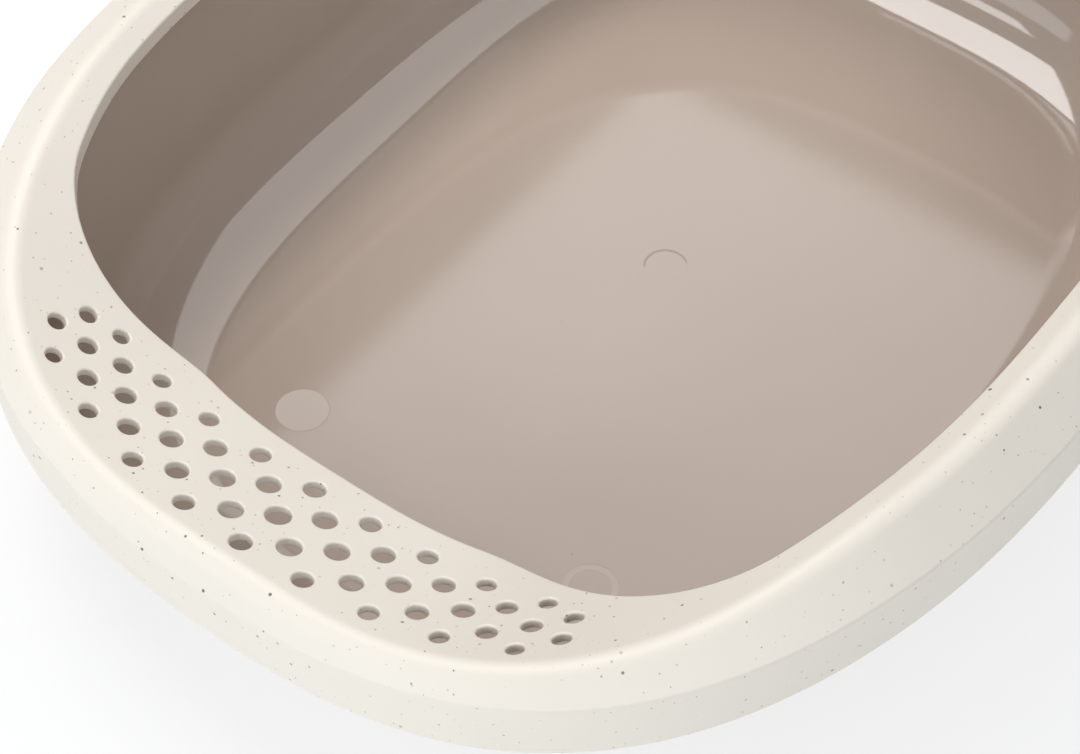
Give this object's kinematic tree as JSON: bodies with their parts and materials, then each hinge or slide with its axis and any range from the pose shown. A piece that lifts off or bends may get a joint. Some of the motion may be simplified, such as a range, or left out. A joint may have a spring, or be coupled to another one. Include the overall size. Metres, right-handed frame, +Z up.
{
  "type": "litter box",
  "caption": "Open pet litter box: a deep taupe pan with a lift-off cream rim that dips to a wide entry step with sieve holes.",
  "frame": {"origin": "bottom centre of the box, on the surface that its feet stand on", "axes": "+Z up, +Y along the length towards the back, the entry step faces -Y, +X to the right side"},
  "size_m": [0.395, 0.5, 0.1179],
  "materials": {
    "pan_plastic": "glossy moulded plastic",
    "rim_plastic": "satin moulded plastic with sparse dark specks"
  },
  "bodies": {
    "pan": {"pan": "pan_plastic"},
    "rim": {"rim": "rim_plastic"}
  },
  "joints": [
    {"name": "rim_lift", "type": "slide", "parent": "pan", "child": "rim", "axis": [0, 0, 1], "range_m": [0, 0.08]}
  ]
}
